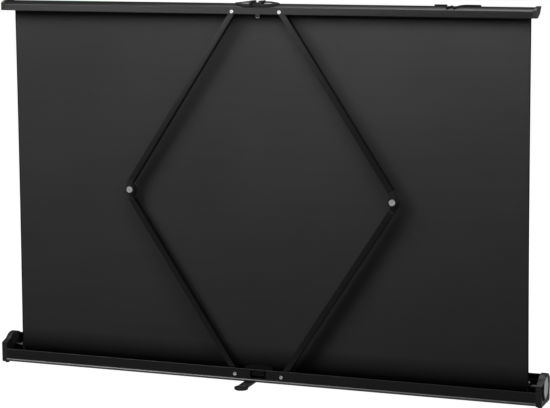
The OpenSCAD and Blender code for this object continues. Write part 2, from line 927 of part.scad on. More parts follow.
module top_bar_outline() {
    difference() {
        union() {
            difference() {
                crown_outline(0, bar_face_h - 1);
                translate([bar_mid_y, crown_z])
                    circle(r = crown_r - bar_wall, $fn = 180);
            }
            translate([rear_y - bar_wall, 0])
                square([bar_wall, bar_face_h]);
            difference() {
                translate([sheet_y - 1, rod_z])
                    square([2, bar_face_h + bar_rise - bar_wall + 0.5 - rod_z]);
                translate([sheet_y, rod_z])
                    circle(r = rod_ring_r);
            }
            translate([sheet_y, rod_z])
                circle(r = rod_shell_r);
        }
        translate([sheet_y, rod_z])
            circle(r = rod_ring_r);
        translate([sheet_y - slot_w / 2, rod_z - rod_shell_r - 1])
            square([slot_w, rod_shell_r + 1]);
        translate([rear_y + 0.3, bar_face_h - 0.4])
            circle(r = 0.8);
    }
}

// The bar's rear channel, which takes the folded arms, with the groove that holds the fabric's rod
module top_bar_housing() {
    color([0.22, 0.22, 0.23])
    difference() {
        translate([0, 0, bar_z])
            run_x(-bar_x, bar_x)
                intersection() {
                    top_bar_outline();
                    translate([bar_split_y, -1])
                        square([rear_y - bar_split_y + 1, bar_face_h + bar_rise + 2]);
                }
        for (s = [-1, 1]) {
            translate([s * pivot_x, 0, high_z])
                rod_y(rear_y - bar_wall - 1, rear_y + 1, rivet_r + fit);
        }
        translate([handle_x, handle_y, bar_z + bar_face_h])
            cylinder(h = 20, r = 1.5);
    }
}

// The bar's front hood, which covers the roller, in one piece with the channel
module top_bar_hood() {
    color([0.22, 0.22, 0.23])
    translate([0, 0, bar_z])
        run_x(-bar_x, bar_x)
            intersection() {
                top_bar_outline();
                translate([bar_front_y - 1, -1])
                    square([bar_split_y - bar_front_y + 1, bar_face_h + bar_rise + 2]);
            }
}

module top_cap() {
    color([0.16, 0.16, 0.17])
    translate([0, 0, bar_z])
        run_x(bar_x, bar_x + bar_cap_t)
            union() {
                crown_outline(bar_cap_proud, bar_face_h - 1);
                polygon([
                    [rear_y, 0], [rear_y, bar_face_h], [bar_front_y, bar_face_h],
                    [bar_front_y, bar_face_h - 2], [rear_y - 9, 0]
                ]);
            }
}

module top_cap_left() {
    top_cap();
}

module top_cap_right() {
    mirror([1, 0, 0])
        top_cap();
}

module hem_rod() {
    color([0.62, 0.62, 0.64])
    translate([0, sheet_y, bar_z + rod_z])
        rod_x(-sheet_w / 2 - 1, sheet_w / 2 + 1, hem_rod_r);
}

// Carry handle

// A long rod of the bar's crown, grown by a margin
module crown_rod(grow) {
    translate([0, bar_mid_y, bar_z + crown_z])
        rod_x(handle_x - loop_span - loop_l, handle_x + loop_span + loop_l, crown_r + grow, $fn = 180);
}

// Places its children at each hinge of the grip loops, at the middle of the handle's depth
module at_hinges() {
    for (s = [-1, 1]) {
        translate([handle_x + s * loop_span / 2, handle_y, hinge_z])
            children();
    }
}

module handle_base() {
    half = loop_span / 2 + 1;
    color([0.06, 0.06, 0.06])
    difference() {
        union() {
            translate([handle_x - half, handle_y - hub_w / 2, handle_z - 8])
                cube([2 * half, hub_w, hinge_z - handle_z + 7]);
            at_hinges()
                rod_y(-hub_w / 2, hub_w / 2, eye_r);
        }
        crown_rod(0);
        at_hinges()
            rod_y(-hub_w, hub_w, loop_pin_r + 0.01);
        translate([handle_x, handle_y, handle_z - 9])
            cylinder(h = 30, r = 1.5);
        translate([handle_x, handle_y, hinge_z - 2])
            cylinder(h = 10, r = 3.2);
    }
}

module handle_screw() {
    color([0.5, 0.5, 0.52])
    translate([handle_x, handle_y, hinge_z - 2]) {
        difference() {
            dome(3, 1.6);
            translate([0, 0, 0.9])
                cylinder(h = 2, r = 1, $fn = 6);
        }
        translate([0, 0, -11])
            cylinder(h = 11.5, r = 1.48);
    }
}

module handle_pins() {
    color([0.5, 0.5, 0.52])
    at_hinges()
        rod_y(-loop_w / 2, loop_w / 2, loop_pin_r);
}

// A grip loop's outline in plan, its hinge at the origin and its tip at +X
module loop_plan(inset) {
    half = loop_w / 2 - inset;
    tip = loop_l - inset;
    polygon([
        [-eye_r, -half], [loop_l * 0.3, -half], [loop_l * 0.85 - inset, -half / 2], [tip, 0],
        [loop_l * 0.85 - inset, half / 2], [loop_l * 0.3, half], [-eye_r, half]
    ]);
}

// The grip loop at +X: a leaf-shaped frame that follows the bar's crown, with an eye at
// the end of each rail
module grip_loop() {
    hinge = [handle_x + loop_span / 2, handle_y, hinge_z];
    wedge_top = eye_r * 0.8;
    difference() {
        union() {
            intersection() {
                translate([hinge[0], hinge[1], bar_z])
                    linear_extrude(hinge_z - bar_z + eye_r)
                        difference() {
                            loop_plan(0);
                            loop_plan(loop_rail);
                            translate([-eye_r - 1, loop_rail - loop_w / 2])
                                square([eye_r + 2, loop_w - 2 * loop_rail]);
                        }
                crown_rod(loop_gap + loop_t);
                translate([hinge[0], 0, hinge_z])
                    run_y(rear_y - bar_d, rear_y + 10)
                        polygon([
                            [0, wedge_top], [loop_l, -loop_hinge_h + loop_gap + 1],
                            [loop_l, -30], [0, -30]
                        ]);
            }
            translate(hinge)
                for (t = [-1, 1]) {
                    translate([0, t * (loop_w - loop_rail) / 2, 0])
                        rod_y(-loop_rail / 2, loop_rail / 2, eye_r);
                }
            translate([hinge[0], hinge[1] + loop_w / 2 - loop_rail, hinge_z - 2.1 * eye_r])
                cube([eye_r, loop_rail, 2.1 * eye_r]);
        }
        crown_rod(loop_gap);
        translate(hinge)
            rod_y(-loop_w, loop_w, loop_pin_r + fit);
    }
}

module grip_loop_at(side) {
    color([0.05, 0.05, 0.05])
    translate([side * 2 * handle_x, 0, 0])
        mirror([side, 0, 0])
            grip_loop();
}

// Wire clip

function unit(v) = v / norm(v);
function left_of(v) = [-v[1], v[0]];

// The sideways step from a bent line's corner k to the corner of a band of half-width 1
function mitre(line, k) =
    let (
        last = len(line) - 1,
        before = left_of(unit(line[max(k, 1)] - line[max(k, 1) - 1])),
        after = left_of(unit(line[min(k, last - 1) + 1] - line[min(k, last - 1)])),
        half_way = unit(before + after)
    )
    half_way / (half_way * before);

// A band of width w along a bent line
module band(line, w) {
    last = len(line) - 1;
    polygon(concat(
        [for (k = [0:last]) line[k] + mitre(line, k) * w / 2],
        [for (k = [0:last]) line[last - k] - mitre(line, last - k) * w / 2]
    ));
}

// A flat wire that lies on the bar's crown and dips twice towards its rear edge
module wire_clip() {
    half = clip_l / 2;
    dip_y = rear_y - 6;
    line = [[half, bar_mid_y], [23, bar_mid_y], [16, dip_y], [8, dip_y - 10], [1, dip_y],
        [-15, bar_mid_y], [-half, bar_mid_y]];
    color([0.03, 0.03, 0.03])
    difference() {
        intersection() {
            translate([-clip_x, 0, bar_z])
                linear_extrude(bar_face_h + bar_rise + clip_t + 1)
                    band(line, clip_t);
            translate([0, bar_mid_y, bar_z + crown_z])
                rod_x(-clip_x - half, -clip_x + half, crown_r + seat + clip_t, $fn = 180);
        }
        translate([0, bar_mid_y, bar_z + crown_z])
            rod_x(-clip_x - half - 1, -clip_x + half + 1, crown_r + seat, $fn = 180);
    }
}

case_housing();
end_cap_left();
end_cap_right();
end_cap_screws();
rubber_feet();
end_disc();
end_disc_plate();
roller_bush();
spring_arbor();
latch_catch();
lower_rivets();
foot_pivot_pin();
foot_pivot_washer();
screen_sheet();
roller_tube();
roller_plug_left();
roller_plug_right();
roller_axle();
roller_spring();
wound_fabric();
foot_lever();
foot_pad();
latch_slider();
latch_spring();
lower_arm(0);  // lower_arm_left
lower_knuckle(0);  // lower_knuckle_left
elbow_metal(0) elbow_bolt();  // elbow_bolt_left
elbow_metal(0) elbow_nut();  // elbow_nut_left
elbow_metal(0) elbow_washer();  // elbow_washer_left
lower_arm(1);  // lower_arm_right
lower_knuckle(1);  // lower_knuckle_right
elbow_metal(1) elbow_bolt();  // elbow_bolt_right
elbow_metal(1) elbow_nut();  // elbow_nut_right
elbow_metal(1) elbow_washer();  // elbow_washer_right
upper_arm(0, rivet_r + fit);  // upper_arm_left
upper_knuckle(0);  // upper_knuckle_left
upper_arm(1, rivet_r + gap);  // upper_arm_right
upper_knuckle(1);  // upper_knuckle_right
top_bar_housing();
top_bar_hood();
top_cap_left();
top_cap_right();
upper_rivets();
hem_rod();
latch_tongue();
handle_base();
handle_screw();
handle_pins();
grip_loop_at(0);  // grip_loop_left
grip_loop_at(1);  // grip_loop_right
wire_clip();
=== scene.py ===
import json
import math

import bpy
from mathutils import Matrix, Vector


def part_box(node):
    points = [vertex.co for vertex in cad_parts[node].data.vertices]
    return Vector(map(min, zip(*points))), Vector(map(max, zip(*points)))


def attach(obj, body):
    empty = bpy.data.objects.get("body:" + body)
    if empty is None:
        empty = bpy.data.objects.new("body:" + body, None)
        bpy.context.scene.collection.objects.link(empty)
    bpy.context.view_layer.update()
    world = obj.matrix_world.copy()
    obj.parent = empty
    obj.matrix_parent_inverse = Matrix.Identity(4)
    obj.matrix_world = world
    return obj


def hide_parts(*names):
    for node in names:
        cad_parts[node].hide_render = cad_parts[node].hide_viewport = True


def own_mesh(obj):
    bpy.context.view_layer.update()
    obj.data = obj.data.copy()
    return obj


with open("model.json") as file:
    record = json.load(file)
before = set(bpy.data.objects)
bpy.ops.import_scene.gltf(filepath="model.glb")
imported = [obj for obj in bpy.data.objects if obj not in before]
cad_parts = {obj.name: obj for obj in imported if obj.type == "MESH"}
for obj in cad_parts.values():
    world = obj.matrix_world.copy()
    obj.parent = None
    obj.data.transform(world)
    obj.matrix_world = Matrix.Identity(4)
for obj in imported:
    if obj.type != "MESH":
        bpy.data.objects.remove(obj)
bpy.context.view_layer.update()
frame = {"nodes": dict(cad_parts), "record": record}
nodes = frame["nodes"]
node_body = {n: b for b, group in frame["record"]["behaviour"]["bodies"].items() for n in group}
node_slot = {p["node"]: p["material_slot"] for p in frame["record"]["subparts"]}

# The fitted view: metres, degrees, the focal length in pixels of the picture's width, and
# the sensor in millimetres
CAMERA_PLACE = (-1.46201, 3.76124, 0.99982)
CAMERA_YAW, CAMERA_PITCH, CAMERA_ROLL = 20.892, 8.795, -0.354
FOCAL_PIXELS, PICTURE_WIDTH = 1974.94, 550
SENSOR_WIDTH = 36.0
VIEW_REACH = 60


# Camera behind the screen, to the picture's right and a little above the bar
def make_camera():
    yaw, pitch, roll = map(math.radians, (CAMERA_YAW, CAMERA_PITCH, CAMERA_ROLL))
    ahead = Vector((math.sin(yaw) * math.cos(pitch), -math.cos(yaw) * math.cos(pitch),
                    -math.sin(pitch)))
    side = Vector((-math.cos(yaw), -math.sin(yaw), 0.0))
    up = side.cross(ahead)
    right = side * math.cos(roll) + up * math.sin(roll)
    top = up * math.cos(roll) - side * math.sin(roll)
    lens = bpy.data.cameras.new("camera")
    lens.sensor_fit = "HORIZONTAL"
    lens.sensor_width = SENSOR_WIDTH
    lens.lens = FOCAL_PIXELS / PICTURE_WIDTH * SENSOR_WIDTH
    lens.clip_end = VIEW_REACH
    camera = bpy.data.objects.new("camera", lens)
    bpy.context.scene.collection.objects.link(camera)
    stand = Matrix((right, top, -ahead)).transposed().to_4x4()
    stand.translation = CAMERA_PLACE
    camera.matrix_world = stand
    bpy.context.scene.camera = camera


make_camera()


# Shader helpers
def new_material(name):
    mat = bpy.data.materials.new(name)
    mat.use_nodes = True
    tree = mat.node_tree
    tree.nodes.clear()
    out = tree.nodes.new("ShaderNodeOutputMaterial")
    bsdf = tree.nodes.new("ShaderNodeBsdfPrincipled")
    tree.links.new(bsdf.outputs["BSDF"], out.inputs["Surface"])
    return mat, tree, bsdf


# Every surface group gives a colour, a roughness and a height
SURFACE_OUTPUTS = [("Color", "NodeSocketColor"), ("Roughness", "NodeSocketFloat"),
                   ("Height", "NodeSocketFloat")]


def new_group(name, inputs):
    group = bpy.data.node_groups.new(name, "ShaderNodeTree")
    for label, kind, value in inputs:
        socket = group.interface.new_socket(label, in_out="INPUT", socket_type=kind)
        socket.default_value = value
    for label, kind in SURFACE_OUTPUTS:
        group.interface.new_socket(label, in_out="OUTPUT", socket_type=kind)
    return group, group.nodes.new("NodeGroupInput"), group.nodes.new("NodeGroupOutput")


def add(tree, kind, **values):
    node = tree.nodes.new(kind)
    for key, value in values.items():
        setattr(node, key, value)
    return node


def feed(tree, value, socket):
    """Writes a plain value to a socket, or links another node's socket to it."""
    if isinstance(value, (int, float, tuple)):
        socket.default_value = value
    else:
        tree.links.new(value, socket)


def math_node(tree, operation, a, b=None, clamp=False):
    node = add(tree, "ShaderNodeMath", operation=operation, use_clamp=clamp)
    feed(tree, a, node.inputs[0])
    if b is not None:
        feed(tree, b, node.inputs[1])
    return node.outputs[0]


def weighted(tree, a, share, b, clamp=False):
    """So much of the first value, and the rest of the second."""
    return math_node(tree, "ADD", math_node(tree, "MULTIPLY", a, share),
                     math_node(tree, "MULTIPLY", b, 1 - share), clamp=clamp)


def remap(tree, value, low, high, to_low=0.0, to_high=1.0):
    node = add(tree, "ShaderNodeMapRange")
    for label, source in (("Value", value), ("From Min", low), ("From Max", high),
                          ("To Min", to_low), ("To Max", to_high)):
        feed(tree, source, node.inputs[label])
    return node.outputs["Result"]


def noise(tree, vector, scale, detail, rough=0.5):
    node = add(tree, "ShaderNodeTexNoise")
    for label, source in (("Vector", vector), ("Scale", scale), ("Detail", detail),
                          ("Roughness", rough)):
        feed(tree, source, node.inputs[label])
    return node.outputs["Fac"]


def stretch(tree, vector, scale):
    node = add(tree, "ShaderNodeMapping")
    tree.links.new(vector, node.inputs["Vector"])
    feed(tree, scale, node.inputs["Scale"])
    return node.outputs["Vector"]


# A colour mix's sockets, by number: its first and second colour, and its result
MIX_FIRST, MIX_SECOND, MIX_RESULT = 6, 7, 2


def mix_colours(tree, factor, first, second):
    node = add(tree, "ShaderNodeMix", data_type="RGBA")
    tree.links.new(factor, node.inputs["Factor"])
    feed(tree, first, node.inputs[MIX_FIRST])
    feed(tree, second, node.inputs[MIX_SECOND])
    return node.outputs[MIX_RESULT]


# A moulded or sprayed surface: fine grain, slow cloudiness and scuffed spots
def grain_group():
    tree, enter, leave = new_group(
        "surface_grain",
        [("Grain Scale", "NodeSocketFloat", 900.0), ("Cloud Scale", "NodeSocketFloat", 9.0),
         ("Dark", "NodeSocketColor", (0.01, 0.01, 0.01, 1)),
         ("Light", "NodeSocketColor", (0.02, 0.02, 0.02, 1)),
         ("Rough Low", "NodeSocketFloat", 0.4), ("Rough High", "NodeSocketFloat", 0.55)])
    given = enter.outputs
    place = add(tree, "ShaderNodeTexCoord").outputs["Object"]
    fine = noise(tree, place, given["Grain Scale"], 3.0)
    cloud = noise(tree, place, given["Cloud Scale"], 4.0)
    scuff = remap(tree, noise(tree, place, 55.0, 5.0, 0.7), 0.62, 0.74)
    colour = mix_colours(tree, remap(tree, cloud, 0.35, 0.65), given["Dark"], given["Light"])
    worn = weighted(tree, cloud, 0.7, scuff, clamp=True)
    rough = remap(tree, worn, 0.0, 1.0, given["Rough Low"], given["Rough High"])
    tree.links.new(colour, leave.inputs["Color"])
    tree.links.new(rough, leave.inputs["Roughness"])
    tree.links.new(fine, leave.inputs["Height"])
    return tree


# Long drawn lines that a die or a brush leaves along one direction
def draw_line_group():
    tree, enter, leave = new_group(
        "drawn_lines",
        [("Stretch", "NodeSocketVector", (3.0, 900.0, 900.0)),
         ("Dark", "NodeSocketColor", (0.05, 0.05, 0.05, 1)),
         ("Light", "NodeSocketColor", (0.08, 0.08, 0.08, 1)),
         ("Rough Low", "NodeSocketFloat", 0.3), ("Rough High", "NodeSocketFloat", 0.45)])
    given = enter.outputs
    place = add(tree, "ShaderNodeTexCoord").outputs["Object"]
    lines = noise(tree, stretch(tree, place, given["Stretch"]), 1.0, 3.0, 0.6)
    both = weighted(tree, lines, 0.6, noise(tree, place, 6.0, 3.0))
    colour = mix_colours(tree, remap(tree, both, 0.35, 0.65), given["Dark"], given["Light"])
    rough = remap(tree, both, 0.0, 1.0, given["Rough Low"], given["Rough High"])
    tree.links.new(colour, leave.inputs["Color"])
    tree.links.new(rough, leave.inputs["Roughness"])
    tree.links.new(lines, leave.inputs["Height"])
    return tree


# Plain weave on the cloth's own UV map, in metres
def weave_group():
    tree, enter, leave = new_group(
        "plain_weave",
        [("Threads", "NodeSocketFloat", 1400.0),
         ("Dark", "NodeSocketColor", (0.03, 0.03, 0.03, 1)),
         ("Light", "NodeSocketColor", (0.045, 0.045, 0.045, 1))])
    given = enter.outputs
    uv = add(tree, "ShaderNodeTexCoord").outputs["UV"]
    split = add(tree, "ShaderNodeSeparateXYZ")
    tree.links.new(uv, split.inputs[0])
    waves = []
    for axis in (0, 1):
        scaled = math_node(tree, "MULTIPLY", split.outputs[axis], given["Threads"])
        waves.append(math_node(tree, "SINE", math_node(tree, "MULTIPLY", scaled, math.tau)))
    crossing = math_node(tree, "MULTIPLY", waves[0], waves[1])
    weave = math_node(tree, "ADD", math_node(tree, "MULTIPLY", crossing, 0.5), 0.5)
    uneven = noise(tree, stretch(tree, uv, (3.0, 60.0, 1.0)), 1.0, 3.0)
    cloud = noise(tree, uv, 4.0, 4.0)
    both = weighted(tree, uneven, 0.25, cloud)
    colour = mix_colours(tree, remap(tree, both, 0.3, 0.7), given["Dark"], given["Light"])
    tree.links.new(colour, leave.inputs["Color"])
    tree.links.new(remap(tree, cloud, 0.3, 0.7, 0.72, 0.86), leave.inputs["Roughness"])
    tree.links.new(weave, leave.inputs["Height"])
    return tree


grain = grain_group()
drawn = draw_line_group()
woven = weave_group()

# How deep the bumps of the three surfaces are, in metres, how strongly the weave's show, and the
# grey that the cloth darkens to towards its bottom
GRAIN_DEPTH, LINE_DEPTH, WEAVE_DEPTH = 0.00012, 0.00006, 0.00008
WEAVE_STRENGTH = 0.3
BOTTOM_GREY = 0.0015


def grey(v, blue=1.0):
    return (v, v, v * blue, 1.0)


def darken_cloth_bottom(tree, colour, low, high):
    """Darkens the cloth towards its bottom, near the roller."""
    place = add(tree, "ShaderNodeTexCoord").outputs["Object"]
    split = add(tree, "ShaderNodeSeparateXYZ")
    tree.links.new(place, split.inputs[0])
    return mix_colours(tree, remap(tree, split.outputs[2], low, high), grey(BOTTOM_GREY), colour)


def surfaced(name, group, values, strength, depth, constants, bottom_fade=None):
    """A material whose colour, roughness and bumps come from a group."""
    mat, tree, bsdf = new_material(name)
    surface = add(tree, "ShaderNodeGroup", node_tree=group)
    for key, value in values.items():
        surface.inputs[key].default_value = value
    colour = surface.outputs["Color"]
    if bottom_fade:
        colour = darken_cloth_bottom(tree, colour, *bottom_fade)
    tree.links.new(colour, bsdf.inputs["Base Color"])
    tree.links.new(surface.outputs["Roughness"], bsdf.inputs["Roughness"])
    bump = add(tree, "ShaderNodeBump")
    bump.inputs["Strength"].default_value = strength
    bump.inputs["Distance"].default_value = depth
    tree.links.new(surface.outputs["Height"], bump.inputs["Height"])
    tree.links.new(bump.outputs["Normal"], bsdf.inputs["Normal"])
    for key, value in constants.items():
        bsdf.inputs[key].default_value = value
    return mat


def grained(name, dark, light, rough, scale=900.0, strength=0.35, metal=0.0, coat=0.0,
            specular=0.5):
    values = {"Grain Scale": scale, "Dark": dark, "Light": light,
              "Rough Low": rough[0], "Rough High": rough[1]}
    constants = {"Metallic": metal, "Coat Weight": coat, "Specular IOR Level": specular}
    return surfaced(name, grain, values, strength, GRAIN_DEPTH, constants)


def lined(name, dark, light, rough, direction=(3.0, 900.0, 900.0), metal=0.6, strength=0.25,
          specular=0.5):
    values = {"Stretch": direction, "Dark": dark, "Light": light,
              "Rough Low": rough[0], "Rough High": rough[1]}
    constants = {"Metallic": metal, "Specular IOR Level": specular}
    return surfaced(name, drawn, values, strength, LINE_DEPTH, constants)


def cloth(name, dark, light, specular=0.3, sheen=0.05, bottom_fade=None):
    constants = {"Specular IOR Level": specular, "Sheen Weight": sheen, "Sheen Roughness": 0.5}
    return surfaced(name, woven, {"Dark": dark, "Light": light}, WEAVE_STRENGTH, WEAVE_DEPTH,
                    constants, bottom_fade)


finish = {
    "black_extrusion": lined("black_extrusion", grey(0.009), grey(0.014, 1.04), (0.34, 0.5),
                             metal=0.1, specular=0.4),
    "bar_extrusion": lined("bar_extrusion", grey(0.006, 1.03), grey(0.012, 1.04), (0.24, 0.34),
                           metal=0.1, specular=0.6),
    "arm_tube": lined("arm_tube", grey(0.003, 1.02), grey(0.006, 1.03), (0.2, 0.28),
                      direction=(260.0, 700.0, 260.0), metal=0.0, specular=0.4),
    "cap_plastic": grained("cap_plastic", grey(0.012), grey(0.020), (0.36, 0.5), scale=700.0),
    "black_plastic": grained("black_plastic", grey(0.007), grey(0.013), (0.28, 0.42)),
    "silver_plate": grained("silver_plate", grey(0.6), grey(0.7), (0.3, 0.42), scale=1500.0,
                            metal=0.6, strength=0.2),
    "steel": grained("steel", grey(0.06), grey(0.1), (0.3, 0.45), scale=1400.0, metal=0.9,
                     strength=0.15),
    # the rivet heads' white is a painted reflection of polished steel
    "rivet_white": grained("rivet_white", grey(0.92), grey(0.97), (0.25, 0.35), scale=1300.0,
                           coat=0.6),
    "spring_steel": grained("spring_steel", grey(0.3), grey(0.4), (0.25, 0.35), scale=1500.0,
                            metal=1.0),
    "bearing_plastic": grained("bearing_plastic", (0.55, 0.53, 0.46, 1), (0.63, 0.61, 0.53, 1),
                               (0.35, 0.5)),
    "rubber": grained("rubber", grey(0.012), grey(0.02), (0.7, 0.85), scale=600.0),
    "roller_tube": lined("roller_tube", grey(0.3), grey(0.4), (0.3, 0.45), metal=1.0),
    # the back of the screen darkens towards its bottom, just above the case
    "screen_fabric": cloth("screen_fabric", grey(0.045), grey(0.06), specular=0.15,
                           bottom_fade=(0.035, 0.078)),
}
screen_white = cloth("screen_white", grey(0.78), grey(0.84))
# near-black for the cloth's side edges and the thin strip along them
cloth_edge = cloth("cloth_edge", grey(0.004), grey(0.007), specular=0.1, sheen=0.0)
screen_border = cloth("screen_border", grey(0.012), grey(0.018))
elbow_grey = grained("elbow_grey", grey(0.5), grey(0.6), (0.4, 0.55), scale=1100.0)
tongue_zinc = grained("tongue_zinc", grey(0.22), grey(0.3), (0.45, 0.6), scale=1300.0, metal=0.7)
foot_black = grained("foot_black", grey(0.010), grey(0.018), (0.3, 0.42), scale=800.0)
knuckle_black = grained("knuckle_black", grey(0.008), grey(0.014), (0.5, 0.62), scale=700.0,
                        specular=0.3)
# a lighter grey for the case's bottom bead: a painted highlight
bead_highlight = lined("bead_highlight", grey(0.13), grey(0.19), (0.3, 0.42), metal=0.6)
catch_black = grained("catch_black", grey(0.002), grey(0.005), (0.55, 0.7), specular=0.2)
grip_plastic = grained("grip_plastic", grey(0.006), grey(0.011), (0.5, 0.65), specular=0.3)

for name, node in nodes.items():
    node.data.materials.clear()
    node.data.materials.append(finish[node_slot[name]])


# Modelling helpers. All sizes are in metres. Points nearer than MERGE become one, and
# corners of a welded piece that bend less than FLAT_ENOUGH are dissolved
MERGE = 0.000002
FLAT_ENOUGH = math.radians(0.3)


def deselect():
    for obj in bpy.context.selected_objects:
        obj.select_set(False)


def activate(obj):
    deselect()
    obj.select_set(True)
    bpy.context.view_layer.objects.active = obj


def finish_piece(obj, body, material, stands_for, angle):
    """Shades a piece, gives it a material unless it has its own, attaches it to its body and
    hides the nodes it stands for.
    """
    activate(obj)
    bpy.ops.object.transform_apply(location=True, rotation=True, scale=True)
    bpy.ops.object.shade_smooth_by_angle(angle=math.radians(angle))
    # a large flat face keeps its flat look beside its rounded edges
    flat = obj.modifiers.new("flat_faces", "WEIGHTED_NORMAL")
    flat.keep_sharp = True
    bpy.ops.object.modifier_apply(modifier="flat_faces")
    if material is not None:
        obj.data.materials.clear()
        obj.data.materials.append(material)
    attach(obj, body)
    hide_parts(*stands_for)
    obj.select_set(False)


def copy_node(name, new_name, merge=True):
    """A copy of a CAD node, with its loose triangles joined."""
    obj = bpy.data.objects.new(new_name, nodes[name].data.copy())
    bpy.context.scene.collection.objects.link(obj)
    activate(obj)
    if merge:
        bpy.ops.object.mode_set(mode="EDIT")
        bpy.ops.mesh.select_all(action="SELECT")
        bpy.ops.mesh.remove_doubles(threshold=MERGE)
        bpy.ops.object.mode_set(mode="OBJECT")
    return obj


def round_edges(obj, width, segments, angle=30):
    """Rounds the sharp edges of the active object."""
    bevel = obj.modifiers.new("soft_edges", "BEVEL")
    bevel.width, bevel.segments, bevel.limit_method = width, segments, "ANGLE"
    bevel.angle_limit = math.radians(angle)
    bpy.ops.object.modifier_apply(modifier="soft_edges")


def combine(obj, other, operation):
    """Adds the other object to this one or cuts it away, and drops the other."""
    activate(obj)
    step = obj.modifiers.new("combine", "BOOLEAN")
    step.operation, step.solver, step.object = operation, "EXACT", other
    bpy.ops.object.modifier_apply(modifier="combine")
    bpy.data.objects.remove(other)


def soften_node(name, width, segments=2, material=None):
    """A copy of a CAD node with its sharp edges rounded, which then stands for the node."""
    obj = copy_node(name, name + "_softened")
    round_edges(obj, width, segments)
    finish_piece(obj, node_body[name], material or finish[node_slot[name]], (name,),
                 angle=30)


def join_nodes(names, width, new_name):
    """Copies of CAD nodes that are one piece in the real thing, welded and softened."""
    first, *others = [copy_node(name, name + "_copy") for name in names]
    first.name = new_name
    for other in others:
        combine(first, other, "UNION")
    bpy.ops.object.mode_set(mode="EDIT")
    bpy.ops.mesh.select_all(action="SELECT")
    bpy.ops.mesh.dissolve_limited(angle_limit=FLAT_ENOUGH)
    bpy.ops.object.mode_set(mode="OBJECT")
    round_edges(first, width, 2)
    slot = node_slot[names[0]]
    finish_piece(first, node_body[names[0]], finish[slot], names, angle=30)


def pick_faces(obj, test):
    """Selects the faces whose middle and normal pass the test, in edit mode."""
    bpy.ops.object.mode_set(mode="OBJECT")
    for face in obj.data.polygons:
        face.select = test(face.center, face.normal)
    for edge in obj.data.edges:
        edge.select = False
    for vert in obj.data.vertices:
        vert.select = False
    for face in obj.data.polygons:
        if face.select:
            for v in face.vertices:
                obj.data.vertices[v].select = True
    bpy.ops.object.mode_set(mode="EDIT")


def disc_along_y(x, z, y_from, y_to, radius, vertices):
    """A round disc or pin along Y, ready to be shaped."""
    deselect()
    bpy.ops.mesh.primitive_cylinder_add(vertices=vertices, radius=radius, depth=y_to - y_from,
                                        location=(x, (y_to + y_from) / 2, z),
                                        rotation=(math.radians(-90), 0, 0))
    bpy.ops.object.transform_apply(location=True, rotation=True, scale=True)
    return bpy.context.active_object


def disc_upright(x, y, z_from, z_to, radius, vertices):
    """A round disc or pin along Z."""
    deselect()
    bpy.ops.mesh.primitive_cylinder_add(vertices=vertices, radius=radius, depth=z_to - z_from,
                                        location=(x, y, (z_from + z_to) / 2))
    return bpy.context.active_object


# Floor, backdrop and light
FLOOR_SIZE = 30
FLOOR_GREY = 0.06
FLOOR_SEEN, FLOOR_MIRRORED = 1.0, 0.18
WORLD_SEEN, WORLD_LIT = 1.0, 0.014


def make_floor():
    bpy.ops.mesh.primitive_plane_add(size=FLOOR_SIZE, location=(0, 0, 0))
    floor = bpy.context.active_object
    floor.name = "floor"
    mat, tree, bsdf = new_material("floor_paper")
    bsdf.inputs["Base Color"].default_value = grey(FLOOR_GREY)
    bsdf.inputs["Roughness"].default_value = 0.8
    bsdf.inputs["Specular IOR Level"].default_value = 0.2
    bsdf.inputs["Emission Color"].default_value = (1, 1, 1, 1)
    path = add(tree, "ShaderNodeLightPath")
    seen = math_node(tree, "MULTIPLY", path.outputs["Is Camera Ray"], FLOOR_SEEN)
    mirrored = math_node(tree, "MULTIPLY", path.outputs["Is Glossy Ray"], FLOOR_MIRRORED)
    tree.links.new(math_node(tree, "ADD", seen, mirrored), bsdf.inputs["Emission Strength"])
    floor.data.materials.append(mat)


def make_backdrop():
    """White where the camera sees it, and dim as a light."""
    world = bpy.data.worlds.new("studio")
    bpy.context.scene.world = world
    bpy.context.scene.view_settings.view_transform = "Standard"
    world.use_nodes = True
    tree = world.node_tree
    tree.nodes.clear()
    out = add(tree, "ShaderNodeOutputWorld")
    path = add(tree, "ShaderNodeLightPath")
    mix = add(tree, "ShaderNodeMixShader")
    tree.links.new(path.outputs["Is Camera Ray"], mix.inputs[0])
    for socket, strength in ((1, WORLD_LIT), (2, WORLD_SEEN)):
        sky = add(tree, "ShaderNodeBackground")
        sky.inputs["Color"].default_value = (1, 1, 1, 1)
        sky.inputs["Strength"].default_value = strength
        tree.links.new(sky.outputs[0], mix.inputs[socket])
    tree.links.new(mix.outputs[0], out.inputs["Surface"])


def soft_light(name, place, target, size, power, diffuse=True, glossy=True):
    light = bpy.data.lights.new(name, "AREA")
    light.shape = "RECTANGLE"
    light.size, light.size_y = size
    light.energy = power
    obj = bpy.data.objects.new(name, light)
    bpy.context.scene.collection.objects.link(obj)
    obj.location = place
    obj.rotation_euler = (Vector(target) - Vector(place)).to_track_quat("-Z", "Y").to_euler()
    obj.visible_camera = False
    obj.visible_diffuse = diffuse
    obj.visible_glossy = glossy


make_floor()
make_backdrop()
# Each light's place, target and size in metres, and its power in watts. The key throws the
# arms' shadows to the picture's right, the top light brightens the cloth under the bar, the
# front and face lights serve the white side, the side light the end cover, and the last
# two are seen only as highlights: on the bar's face and arms, and on the bar's crown.
soft_light("key_light", (1.15, 1.0, 1.45), (-0.15, 0.0, 0.55), (0.8, 0.7), 16)
soft_light("top_light", (-0.35, 0.46, 1.0), (-0.3, 0.0, 0.74), (1.1, 0.3), 3.2)
soft_light("front_light", (0.4, -1.1, 2.9), (0.0, 0.0, 0.4), (1.6, 0.8), 20)
soft_light("face_light", (0.2, -2.4, 1.0), (0.0, 0.0, 0.4), (2.0, 1.2), 60, glossy=False)
soft_light("side_light", (-2.3, -0.2, 0.8), (-0.6, 0.0, 0.1), (0.8, 0.8), 30)
soft_light("card_light", (1.6, 3.0, 0.68), (0.0, 0.0, 0.75), (1.4, 0.46), 5.5, diffuse=False)
soft_light("crown_light", (0.72, 0.14, 1.5), (0.45, 0.0, 0.79), (0.9, 0.5), 4.6, diffuse=False)


